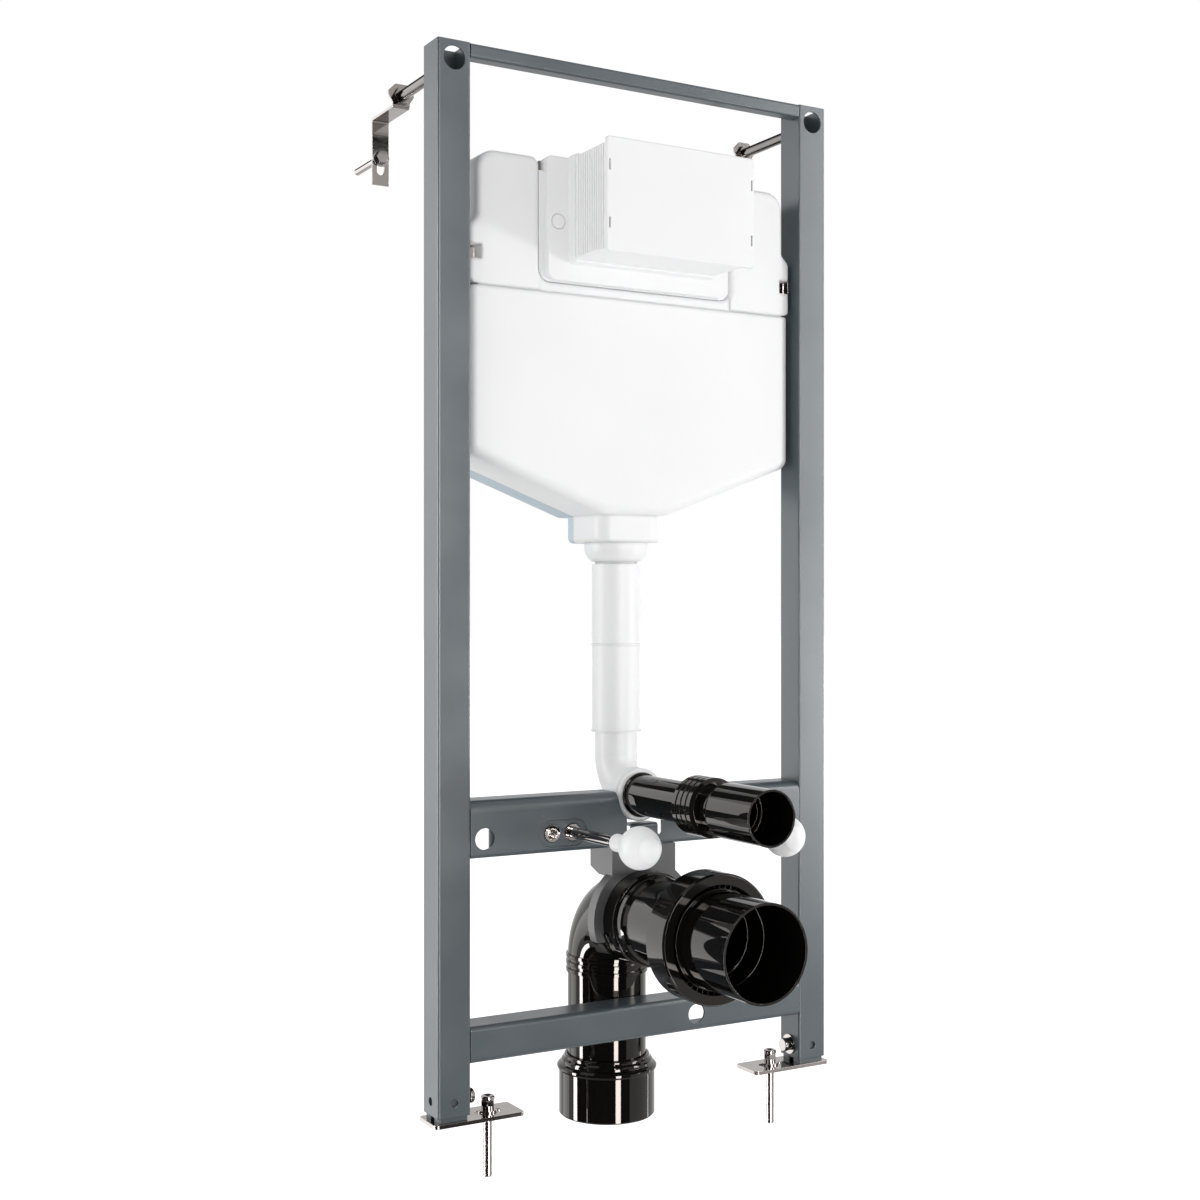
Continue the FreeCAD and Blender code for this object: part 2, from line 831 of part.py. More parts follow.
def wall_nuts():
    """Two nuts on each rod, one on either side of the bracket's tab."""
    nuts = []
    for y in (tie_tab_y - tie_nut, tie_tab_y + tie_sheet):
        start = V(-post_x, y, tie_z)
        end = V(-post_x, min(y + tie_nut, rod_end - 0.2), tie_z)
        nut = hexagon(tie_nut_flats, start, end)
        nut = nut.cut(rod(rod_r + bush_gap, start - V(0, 1, 0), end + V(0, 1, 0)))
        nuts += [nut, mirrored(nut)]
    return Part.makeCompound(nuts)


def left_wall_screw():
    """Wall screw with its washer and hexagonal head."""
    face = wall_distance - tie_sheet
    head_start = face - screw_washer
    x = -post_x
    shank = rod(screw_r, V(x, face, screw_z), V(x, wall_distance + screw_depth, screw_z))
    shoulder = rod(screw_shoulder_r, V(x, face, screw_z), V(x, wall_distance + screw_shoulder, screw_z))
    washer = rod(screw_washer_r, V(x, head_start, screw_z), V(x, face, screw_z))
    head = hexagon(screw_flats, V(x, head_start - screw_head, screw_z), V(x, head_start, screw_z))
    return shank.multiFuse([shoulder, washer, head]).removeSplitter()


def tank_low():
    """Height at which the sloping bottom of the tank meets its neck."""
    return tank_corner_height - tank_slope * (tank_half - neck_half)


def tank_outline():
    """Front view of the tank above its neck: upright sides and a bottom that slopes to the neck."""
    return [
        (-neck_half, tank_low(), neck_corner),
        (-tank_half, tank_corner_height, tank_low_r),
        (-tank_half, tank_top, 0),
        (tank_half, tank_top, 0),
        (tank_half, tank_corner_height, tank_low_r),
        (neck_half, tank_low(), neck_corner),
    ]


def edges_at(shape, y):
    """The edges of a shape that lie in the plane at depth y."""
    return [e for e in shape.Edges if all(abs(v.Y - y) < 1e-6 for v in e.Vertexes)]


def corner_cuts(level, r, side):
    """What is cut off to round the outer corners at a level: side 1 for a bottom, -1 for a top."""
    x = tank_half - r
    middle = level + side * r
    low = min(level - side, middle)
    high = max(level - side, middle)
    corner = block(x, tank_half + 1, tank_front - 1, layer_back + 1, low, high)
    corner = corner.cut(rod(r, V(x, tank_front - 2, middle), V(x, layer_back + 2, middle)))
    return [corner, mirrored(corner)]


def cistern_tank():
    """Closed tank with soft front edges at its sides and bottom, and the neck for the outlet."""
    body = front_prism(tank_outline(), tank_front, tank_back)
    soft_edges = [e for e in edges_at(body, tank_front) if e.BoundBox.ZMin < tank_top - 1e-3]
    body = body.makeFillet(tank_round, soft_edges)
    neck_top = tank_low() + neck_overlap
    neck_plan = [
        (-neck_half, neck_front, neck_corner),
        (neck_half, neck_front, neck_corner),
        (neck_half, tank_back, 0),
        (-neck_half, tank_back, 0),
    ]
    neck = plan_prism(neck_plan, neck_low, neck_top)
    neck = neck.common(front_prism(neck_outline(neck_low_r), 0, layer_back))
    return body.fuse(neck).cut(corner_cuts(tank_top, tank_top_r, -1)).removeSplitter()


def neck_outline(r):
    """Front view of the neck, with its lower corners rounded."""
    top = tank_low() + neck_overlap
    return [(-neck_half, neck_low, r), (neck_half, neck_low, r), (neck_half, top, 0), (-neck_half, top, 0)]


def cistern_back():
    """Back half of the tank, in another plastic, with a thin layer behind the neck."""
    body = front_prism(tank_outline(), tank_back, layer_back)
    skirt = front_prism(neck_outline(neck_low_r + 2), tank_back, tank_back + neck_layer)
    return body.fuse(skirt).cut(corner_cuts(tank_top, tank_top_r, -1)).removeSplitter()


def cistern_hood():
    """Upper shell with two rounded lobes, a step on each side and the pocket of the front panel."""
    low = tank_top + seam_gap
    floor = hood_top - lobe_notch
    half = [
        (tank_half, low, 0),
        (tank_half, hood_step, hood_step_r),
        (hood_half, hood_step + hood_step_rise, hood_step_r),
        (hood_half, hood_top, lobe_outer_r),
        (pocket_half, hood_top, lobe_inner_r),
        (pocket_half, floor, 1),
        (panel_half, floor, 1),
        (panel_half, hood_top, 3),
    ]
    outline = half + [(-x, z, r) for x, z, r in reversed(half)]
    hood = front_prism(outline, tank_front, layer_back)
    pocket_floor = panel_front + panel_thickness
    pocket_low = panel_low - groove_low
    pocket_r = panel_corner + groove_low
    pocket_top = floor + groove / 2
    pocket = [
        (-pocket_half, pocket_low, pocket_r),
        (pocket_half, pocket_low, pocket_r),
        (pocket_half, pocket_top, 0),
        (-pocket_half, pocket_top, 0),
    ]
    hood = hood.cut([
        front_prism(pocket, tank_front - 1, pocket_floor),
        block(-panel_half - 1, panel_half + 1, tank_front - 1, pocket_floor, floor + 1, hood_top + 1),
    ])
    hood = hood.removeSplitter()
    front_edges = [e for e in edges_at(hood, tank_front) if e.BoundBox.ZMax > low + 1e-3]
    hood = hood.makeFillet(hood_round, front_edges)
    side_z = low + hood_low_r
    side_top = hood_step - hood_step_r
    sides = both_sides(tank_half - 1, tank_half + hood_side, tank_front + clip_depth + clip_slant, layer_back,
                       side_z, side_top)
    hood = hood.multiFuse(sides)
    recess = plan_prism(
        [
            (tank_half - clip_recess, tank_front - 1, 0),
            (tank_half + 1, tank_front - 1, 0),
            (tank_half + 1, tank_front + clip_depth, 0),
            (tank_half - clip_recess + clip_slant, tank_front + clip_depth, 0),
        ],
        clip_low,
        clip_high,
    )
    apron = block(-pocket_half, pocket_half, tank_front - 1, tank_front + apron_recess, low - 1,
                  pocket_low + pocket_r)
    hood = hood.cut(corner_cuts(low, hood_low_r, 1) + [recess, mirrored(recess), apron])
    inset = tank_half - seam_depth
    neck = block(-inset, inset, tank_front + seam_front_depth, layer_back - seam_depth, tank_top, low)
    return hood.fuse(neck).removeSplitter()


def cistern_clips():
    """Two spring clips in the recesses at the sides of the hood, each with a tongue to its upright."""
    start = tank_half - clip_recess + clip_slant + clip_gap
    back = tank_front + clip_depth - clip_gap
    lip_front = back - clip_lip
    end = tank_half - clip_gap
    section = [
        (start, back, 0),
        (inner_face - clip_gap, back, 0),
        (inner_face - clip_gap, back - clip_sheet, 0),
        (end, back - clip_sheet, 0),
        (end, lip_front, 0),
        (end - clip_sheet, lip_front, 0),
        (end - clip_sheet, back - clip_sheet, 1),
        (start, back - clip_sheet, 0),
    ]
    clip = plan_prism(section, clip_low + clip_gap, clip_high - clip_gap)
    return Part.makeCompound([clip, mirrored(clip)])


def cistern_panel():
    """Flat front panel with soft edges, a round knock-out and a rim set back round it."""
    top = hood_top + panel_rise
    outline = [
        (-panel_half, panel_low, panel_corner),
        (panel_half, panel_low, panel_corner),
        (panel_half, top, panel_top_r),
        (-panel_half, top, panel_top_r),
    ]
    panel = front_prism(outline, panel_front, panel_front + panel_thickness)
    panel = panel.makeChamfer(panel_edge, edges_at(panel, panel_front))
    start = V(knock_out_x, panel_front - 1, knock_out_z)
    end = V(knock_out_x, panel_front + knock_out_groove, knock_out_z)
    ring = rod(knock_out_r, start, end)
    core = rod(knock_out_r - knock_out_groove, start - V(0, 1, 0), end + V(0, 1, 0))
    rim_half = pocket_half - rim_gap
    rim_low = panel_low - groove_low + rim_gap
    rim_r = panel_corner + groove_low
    rim_top = hood_top - lobe_notch
    rim_outline = [
        (-rim_half, rim_low, rim_r),
        (rim_half, rim_low, rim_r),
        (rim_half, rim_top, 0),
        (-rim_half, rim_top, 0),
    ]
    rim = front_prism(rim_outline, tank_front + rim_depth, panel_front + panel_thickness)
    return panel.cut(ring.cut(core)).fuse(rim).removeSplitter()


def access_box():
    """Sleeve round the service opening, with upright ribs on its sides and a border at its base."""
    half = access_half - box_inset
    low = access_low + box_inset
    high = access_high - box_inset
    front = access_front + cover_thickness
    body = front_prism(rectangle(-half, half, low, high, 3), front, panel_front)
    border = rectangle(-half - base_border, half + base_border, low - base_border, high + base_border, 4)
    pieces_of_box = [front_prism(border, panel_front - base_thickness, panel_front)]
    rib_start = front + cover_tab_depth
    for i in range(rib_count):
        y = rib_start + i * rib_pitch
        pieces_of_box += both_sides(half - 1, half + rib_height, y, y + rib_width, low + 2, high - 2)
    return body.multiFuse(pieces_of_box).removeSplitter()


def access_cover():
    """Front plate of the access box, with four slots and a clip tab beside each of them."""
    back = access_front + cover_thickness
    outline = rectangle(-access_half, access_half, access_low, access_high, cover_corner)
    cover = front_prism(outline, access_front, back)
    cover = cover.makeChamfer(cover_edge, edges_at(cover, access_front))
    middle = (access_low + access_high) / 2
    for z in (middle - cover_slot_at, middle + cover_slot_at):
        low = z - cover_slot_height / 2
        cover = cover.cut(both_sides(cover_slot_x - cover_slot_width / 2, cover_slot_x + cover_slot_width / 2,
                                     access_front - 1, back + 1, low, low + cover_slot_height))
        low = z - cover_tab_height / 2
        for tab in both_sides(access_half - cover_tab_sheet, access_half, back, back + cover_tab_depth,
                              low, low + cover_tab_height):
            cover = cover.fuse(tab)
    return cover.removeSplitter()


def outlet_nut():
    """Bowl shaped nut under the neck, with a tail in the flush pipe."""
    bore = nut_low_r - nut_wall
    low = neck_low - nut_height
    profile = [(neck_low, bore), (neck_low, nut_r)]
    bowl = nut_height - nut_step
    for i in range(nut_facets + 1):
        a = math.radians(90 * i / nut_facets)
        r = nut_low_r + (nut_r - nut_low_r) * math.cos(a)
        profile.append((neck_low - nut_step - bowl * math.sin(a), r))
    profile.append((low - nut_tail, nut_low_r))
    profile.append((low - nut_tail, bore))
    return turned_z(profile, flush_y)


def flush_pipe():
    """Upright flush pipe with two thin beads."""
    profile = [
        (flush_top, flush_bore),
        (flush_top, flush_r),
        (bead_height + 1, flush_r),
        (bead_height + 1, flush_r + bead),
        (bead_height - 1, flush_r + bead),
        (bead_height - 1, flush_r),
        (flush_low + 2, flush_r),
        (flush_low + 2, flush_r + bead),
        (flush_low, flush_r + bead),
        (flush_low, flush_bore),
    ]
    return turned_z(profile, flush_y)


def flush_elbow():
    """Elbow from the upright pipe to the socket behind the stud bar."""
    top = elbow_turn_z + elbow_tail + flush_over_elbow
    turn_y = flush_y - elbow_bend
    bore = elbow_r - elbow_wall
    upright = turned_z([(top, bore), (top, elbow_r), (elbow_turn_z, elbow_r), (elbow_turn_z, bore)], flush_y)
    bend = quarter_bend(elbow_r, bore, turn_y, elbow_turn_z, flush_height)
    socket_back = elbow_socket_front + elbow_socket_length
    socket_neck = socket_back - elbow_socket_length / 3
    pipe_hole = pipe_r + pipe_gap
    socket = turned_y(
        [
            (turn_y, bore),
            (turn_y, elbow_r),
            (socket_neck, elbow_r),
            (socket_neck, elbow_socket_r, 2),
            (elbow_socket_front + 2 * elbow_lip, elbow_socket_r),
            (elbow_socket_front + 2 * elbow_lip, elbow_socket_r - elbow_ring),
            (elbow_socket_front + elbow_lip, elbow_socket_r - elbow_ring),
            (elbow_socket_front + elbow_lip, elbow_socket_r, 1),
            (elbow_socket_front, elbow_socket_r, 1.5),
            (elbow_socket_front, pipe_hole, 1),
            (turn_y - 1, pipe_hole),
            (turn_y - 1, bore),
        ],
        flush_height,
    )
    return upright.multiFuse([bend, socket]).removeSplitter()


def flush_connector():
    """Black pipe from the elbow to the pan, with a thin lip in front of the socket."""
    bore = pipe_r - pipe_wall
    back = flush_y - elbow_bend - 1 - pipe_gap
    front = flush_sleeve_back - flush_overlap
    lip_back = elbow_socket_front - pipe_gap
    profile = [
        (back, bore),
        (back, pipe_r),
        (lip_back, pipe_r),
        (lip_back, pipe_lip_r, 0.8),
        (lip_back - pipe_lip, pipe_lip_r, 0.8),
        (lip_back - pipe_lip, pipe_r),
        (front, pipe_r),
        (front, bore),
    ]
    return turned_y(profile, flush_height)


def flush_seal():
    """Ribbed rubber seal on the flush connector."""
    bore = pipe_r + pipe_gap
    profile = [(flush_seal_back, bore)]
    span = flush_seal_back - flush_seal_front
    pitch = span / flush_seal_ribs
    for i in range(flush_seal_ribs):
        y = flush_seal_back - i * pitch
        profile.append((y, flush_seal_r))
        profile.append((y - pitch * 0.7, flush_seal_r))
        if i < flush_seal_ribs - 1:
            profile.append((y - pitch * 0.7, flush_seal_r - flush_seal_groove))
            profile.append((y - pitch, flush_seal_r - flush_seal_groove))
    profile.append((flush_seal_front, flush_seal_r - 2 * flush_seal_groove))
    profile.append((flush_seal_front, bore))
    return turned_y(profile, flush_height)


def flush_sleeve():
    """Wider sleeve at the mouth of the flush connector."""
    bore = pipe_r + pipe_gap
    inner = flush_sleeve_r - flush_sleeve_wall
    profile = [
        (flush_sleeve_back + flush_sleeve_taper, bore),
        (flush_sleeve_back + flush_sleeve_taper, bore + flush_sleeve_wall),
        (flush_sleeve_back, flush_sleeve_r),
        (flush_mouth, flush_sleeve_r),
        (flush_mouth, inner),
        (flush_sleeve_back - flush_seat, inner),
        (flush_sleeve_back - flush_seat, pipe_r - pipe_wall),
        (flush_sleeve_back - flush_overlap, pipe_r - pipe_wall),
        (flush_sleeve_back - flush_overlap, bore),
    ]
    return turned_y(profile, flush_height)


def waste_bend():
    """Bend from the level socket down to the outlet, with ribs on its upright leg."""
    bore = waste_r - waste_wall
    turn_y = waste_y - waste_bend_r
    turn_z = waste_height - waste_bend_r
    socket_hole = waste_r + waste_gap
    level = turned_y(
        [
            (turn_y, bore),
            (turn_y, waste_r),
            (bend_socket_back + 2 * bend_socket_taper, waste_r),
            (bend_socket_back + bend_socket_taper, waste_r + bend_socket_taper, 2),
            (bend_socket_back, bend_socket_r),
            (bend_socket_front, bend_socket_r, 2),
            (bend_socket_front, socket_hole, 1.5),
            (bend_socket_back, socket_hole),
            (bend_socket_back, bore),
        ],
        waste_height,
    )
    bend = quarter_bend(waste_r, bore, turn_y, turn_z, waste_height)
    leg = turned_z([(turn_z, bore), (turn_z, waste_r), (bend_tail, waste_r), (bend_tail, bore)], waste_y)
    ribs = []
    for i in range(bend_ribs):
        low = turn_z - bend_rib_drop + i * bend_rib_pitch
        top = low + bend_rib_width
        inside = waste_r - waste_wall / 2
        outside = waste_r + bend_rib
        ribs.append(turned_z([(low, inside), (low, outside), (top, outside), (top, inside)], waste_y))
    return level.multiFuse([bend, leg] + ribs).removeSplitter()


def waste_outlet():
    """Socket that widens the bend to the drain size, with a round bead under its shoulder."""
    neck = waste_r + waste_gap
    lip_r = (neck + outlet_shoulder_r) / 2
    lip_low = (outlet_top + outlet_shoulder) / 2
    bead_low = outlet_bead_z - outlet_bead_half
    bead_high = outlet_bead_z + outlet_bead_half
    profile = [
        (outlet_top, neck, 0.8),
        (outlet_top, lip_r, 1),
        (lip_low, lip_r, 1),
        (outlet_shoulder, outlet_shoulder_r, 1),
        (bead_high + 1, outlet_shoulder_r),
        (bead_high, outlet_r),
        (bead_high, outlet_bead_r, outlet_bead_r - outlet_r),
        (bead_low, outlet_bead_r, outlet_bead_r - outlet_r),
        (bead_low, outlet_r),
        (outlet_low, outlet_r, 1.5),
        (outlet_low, outlet_r - outlet_wall),
        (bend_tail - 4, outlet_r - outlet_wall),
        (bend_tail - 1, neck),
    ]
    return turned_z(profile, waste_y)


def waste_connector():
    """Level pipe between the bend and the mouth, with a seal ring in front of the bend's socket."""
    bore = waste_r - waste_wall
    back = bend_socket_back - 1
    front = connector_front
    ring_back = bend_socket_front - waste_gap
    profile = [
        (back, bore),
        (back, waste_r),
        (ring_back, waste_r),
        (ring_back, connector_ring_r, 1.5),
        (connector_ring_front, connector_ring_r, 2),
        (connector_ring_front - connector_ring_taper, waste_r),
        (front, waste_r),
        (front, bore),
    ]
    return turned_y(profile, waste_height)


def waste_collar():
    """Thick round collar with a dished front, ribbed inside the dish."""
    hole = mouth_r + waste_gap
    back = collar_front + collar_thickness
    dish_floor = collar_front + collar_dish
    dish_r = collar_r - collar_rim
    hub_r = hole + collar_hub
    profile = [
        (back, hole),
        (back, collar_r, collar_edge),
        (collar_front, collar_r, collar_edge),
        (collar_front, dish_r),
        (dish_floor, dish_r),
        (dish_floor, hub_r),
        (collar_front + 1, hub_r),
        (collar_front + 1, hole),
    ]
    collar = turned_y(profile, waste_height)
    ribs = []
    for i in range(collar_ribs):
        rib = block(-collar_rib / 2, collar_rib / 2, collar_front + collar_dish / 2, dish_floor + 1,
                    waste_height + hub_r - 1, waste_height + dish_r + 1)
        rib.rotate(V(0, 0, waste_height), V(0, 1, 0), i * 360 / collar_ribs)
        ribs.append(rib)
    return collar.multiFuse(ribs).removeSplitter()


def waste_mouth():
    """Thin sleeve that takes the spigot of the pan, stepped down behind the collar."""
    bore = mouth_r - mouth_wall
    neck = waste_r + waste_gap
    tail = mouth_back + mouth_tail
    profile = [
        (mouth_front, bore),
        (mouth_front, mouth_r),
        (mouth_back, mouth_r, 2),
        (mouth_back + mouth_taper, neck + mouth_neck_wall),
        (tail, neck + mouth_neck_wall),
        (tail, neck),
        (connector_front - 1, neck),
        (connector_front - 1, waste_r - waste_wall),
        (connector_front - 2, waste_r - waste_wall),
        (connector_front - mouth_seat, bore),
    ]
    return turned_y(profile, waste_height)


def waste_bracket():
    """Folded bracket: a plate with side flanges under the stud bar and a saddle round the bend."""
    y0 = saddle_front
    y1 = y0 + saddle_sheet
    top = stud_bar_low - joint_gap
    flange_low = waste_height + saddle_flange_rise
    plate_outline = [
        (-saddle_half, top, 0),
        (-saddle_half, flange_low, 0),
        (saddle_half, flange_low, 0),
        (saddle_half, top, 0),
    ]
    plate = front_prism(plate_outline, y0, y1)
    flange_outline = [
        (y0, top, 0),
        (saddle_back, top, 0),
        (saddle_back, flange_low + saddle_flange_chamfer, 1),
        (saddle_back - saddle_flange_short, flange_low, 1),
        (y0, flange_low, 0),
    ]
    flange = side_prism(flange_outline, saddle_half - saddle_sheet, saddle_half)
    start = V(0, y0, waste_height)
    end = V(0, y0 + saddle_depth, waste_height)
    opening = rod(saddle_hole_r, start - V(0, 1, 0), V(0, saddle_back + 1, waste_height))
    ring = rod(saddle_r, start, end)
    low_half = block(-saddle_r - 1, saddle_r + 1, y0 - 1, end.y + 1, waste_height - saddle_r - 1,
                     waste_height - saddle_drop)
    bracket = ring.cut(low_half).multiFuse([plate, flange, mirrored(flange)])
    return bracket.cut(opening).removeSplitter()


pieces = {
    "top_bar": top_bar(),
    "stud_bar": stud_bar(),
    "bottom_bar": bottom_bar(),
    "bushes": bushes(),
    "bush_backings": bush_backings(),
    "wall_nuts": wall_nuts(),
    "cistern_tank": cistern_tank(),
    "cistern_back": cistern_back(),
    "cistern_hood": cistern_hood(),
    "cistern_clips": cistern_clips(),
    "cistern_panel": cistern_panel(),
    "access_box": access_box(),
    "access_cover": access_cover(),
    "outlet_nut": outlet_nut(),
    "flush_pipe": flush_pipe(),
    "flush_elbow": flush_elbow(),
    "flush_connector": flush_connector(),
    "flush_seal": flush_seal(),
    "flush_sleeve": flush_sleeve(),
    "waste_bend": waste_bend(),
    "waste_outlet": waste_outlet(),
    "waste_connector": waste_connector(),
    "waste_collar": waste_collar(),
    "waste_mouth": waste_mouth(),
    "waste_bracket": waste_bracket(),
}

# Pieces of the left side, repeated on the right side
sided = {
    "upright": left_upright(),
    "foot_tube": left_foot_tube(),
    "foot_plate": left_foot_plate(),
    "foot_anchor": left_foot_anchor(),
    "clamp_bolt": left_clamp_bolt(),
    "stud": left_stud(),
    "stud_cap": left_stud_cap(),
    "wall_rod": left_wall_rod(),
    "wall_bracket": left_wall_bracket(),
    "wall_screw": left_wall_screw(),
}
for name, shape in sided.items():
    pieces["left_" + name] = shape
    pieces["right_" + name] = mirrored(shape)

os.makedirs("parts", exist_ok=True)
for name, shape in pieces.items():
    shape.translated(-row_origin).exportStep("parts/" + name + ".step")
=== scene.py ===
import json
import math
import bpy
import bmesh
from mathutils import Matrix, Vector


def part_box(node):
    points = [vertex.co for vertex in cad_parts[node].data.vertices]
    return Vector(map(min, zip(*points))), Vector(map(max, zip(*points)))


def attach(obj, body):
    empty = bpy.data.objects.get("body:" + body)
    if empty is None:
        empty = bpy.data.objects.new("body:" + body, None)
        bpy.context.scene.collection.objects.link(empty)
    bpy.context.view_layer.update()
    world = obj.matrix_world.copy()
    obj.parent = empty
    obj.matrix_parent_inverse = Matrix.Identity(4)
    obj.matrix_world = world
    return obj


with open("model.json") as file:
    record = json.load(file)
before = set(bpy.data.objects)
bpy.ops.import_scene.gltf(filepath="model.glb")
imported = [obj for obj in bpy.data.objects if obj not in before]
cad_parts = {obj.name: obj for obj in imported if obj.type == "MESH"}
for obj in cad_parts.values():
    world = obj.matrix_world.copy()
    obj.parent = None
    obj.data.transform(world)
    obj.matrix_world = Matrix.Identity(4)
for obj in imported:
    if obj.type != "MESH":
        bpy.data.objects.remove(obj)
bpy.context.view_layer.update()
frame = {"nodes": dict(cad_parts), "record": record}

MM = 0.001

# Places are worked out in millimetres from the centre plane, the front faces of the uprights
# and the floor, as on a drawing of the frame, and turned into the row's metres by place().
centre_x = (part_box("left_upright")[0].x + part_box("right_upright")[1].x) / 2
front_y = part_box("left_upright")[0].y
floor_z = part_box("left_foot_plate")[0].z
mounts = {mount["name"]: mount for mount in frame["record"]["mounts"]}


def place(x, y, z):
    """Row metres of a point given in millimetres from the centre plane, the front faces and the floor."""
    return Vector((centre_x + x * MM, front_y + y * MM, floor_z + z * MM))


def front_of(node):
    """Place of a node's foremost point behind the front faces."""
    return (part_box(node)[0].y - front_y) / MM


def top_of(node):
    """Height of a node's top over the floor."""
    return (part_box(node)[1].z - floor_z) / MM


def height_of_mount(name):
    """Height of a mount's axis over the floor."""
    return (mounts[name]["pos_m"][2] - floor_z) / MM


# Axes and edges of the frame that the small pieces follow
waste_z = height_of_mount("waste_inlet")
flush_z = height_of_mount("flush_inlet")
bush_z = height_of_mount("outer_bushes")
bush_x = mounts["outer_bushes"]["dims"]["spacing_x_mm"] / 2
bush_r = mounts["outer_bushes"]["dims"]["hole_r_mm"]
bush_front = front_of("bushes")
mouth_front = front_of("waste_mouth")
sleeve_front = front_of("flush_sleeve")
socket_front = front_of("waste_bend")
socket_r = top_of("waste_bend") - waste_z
drain_y = (mounts["drain"]["pos_m"][1] - front_y) / MM
hood_top = top_of("cistern_hood")

# Beads on the steps inside the two bores, each with its depth behind the mouth and its radius
mouth_beads = ((71.6, 48.2), (91.6, 41.8))
mouth_wire_r = 0.55
sleeve_beads = ((53.7, 26.5), (53.7, 20.8))
sleeve_wire_r = 0.4
bead_points = 96
bead_sides = 8

# Thread inside the two open bushes
thread_r = bush_r - 0.05
thread_pitch = 1.75
thread_length = 17.6
thread_inset = 0.2
thread_wire_r = 0.42
thread_sides = 6
thread_steps = 28

# Snap tab on the bend's socket: a wide foot and a narrow nose in front of it
clip_turn = 205.0
clip_y = socket_front + 15.0
clip_inner_r = 51.2
clip_steps = 6
clip_foot_length = 6.4
clip_foot_half = 10.0
clip_foot_r = 54.6
clip_nose_length = 2.5
clip_nose_half = 7.0
clip_nose_r = 53.4
clip_edge = 0.5

# Catches at the top of the hood: a plate with a cut corner and a hook through its lower end
catch_low = hood_top - 13.0
catch_shoulder = hood_top - 6.0
catch_top = hood_top - 1.5
catch_inner_x = 117.4
catch_outer_x = 123.4
catch_corner_x = 119.5
catch_y = 24.0
catch_sheet = 1.4
hook_inner_x = 118.6
hook_outer_x = 122.6
hook_low = hood_top - 13.8
hook_top = hood_top - 11.6
hook_y = 22.2
hook_depth = 3.2
catch_edge = 0.25

# Camera of the photograph: eye level with the middle of the frame, looking level
camera_place = (-962.0, -1569.0, 536.5)
camera_turn = -29.98
camera_lens = 49.84
camera_sensor = 36.0
camera_shift_y = 0.0081
camera_nearest_metres = 0.05
camera_farthest_metres = 100.0

# Colours, as they look in plain light
paint_colour = (0.060, 0.078, 0.089)
zinc_colour = (0.29, 0.265, 0.253)
steel_colour = (0.32, 0.30, 0.288)
# Steel painted darker than the other steel, as painted shade for the dark surroundings that the wall rods
# reflect
shaded_steel_colour = (0.13, 0.121, 0.116)
white_colour = (0.885, 0.885, 0.89)
blue_colour = (0.50, 0.60, 0.67)
black_colour = (0.0035, 0.0032, 0.0031)
rubber_colour = (0.006, 0.0055, 0.0052)
bracket_colour = (0.075, 0.075, 0.076)
brown_tint = (1.0, 0.90, 0.83)
floor_colour = (0.85, 0.85, 0.85)

# Pairs of tones that a dark screen varies between
brown_dark = ((0.035, 0.028, 0.025), (0.08, 0.066, 0.06))
plain_dark = ((0.03, 0.03, 0.032), (0.07, 0.07, 0.075))
blue_dark = ((0.05, 0.06, 0.07), (0.10, 0.12, 0.13))

# Range of the noise that reads as nothing to full
noise_low = 0.3
noise_high = 0.7

# Levels of the light
world_level = 0.72
world_gloss = 1.0
floor_glow = 0.62
floor_bounce = 0.22
key_power = 20.0
left_power = 10.0
strip_radiance = 36.0
left_thin_share = 0.33
right_thin_share = 0.26
high_power = 74.0
back_power = 36.0

# The stage: the floor lies lower than a foot and its anchor that are drawn out in full
floor_drop = -280.0
floor_half_metres = 40
strip_distance = 2300.0
strip_low = -1500.0
strip_top = 1700.0
screen_distance = 3600.0
screen_steps = 24


def rgba(colour):
    """A colour with full alpha."""
    return (colour[0], colour[1], colour[2], 1.0)


def tone(colour, factor):
    """The colour made lighter or darker."""
    return tuple(min(1.0, c * factor) for c in colour)


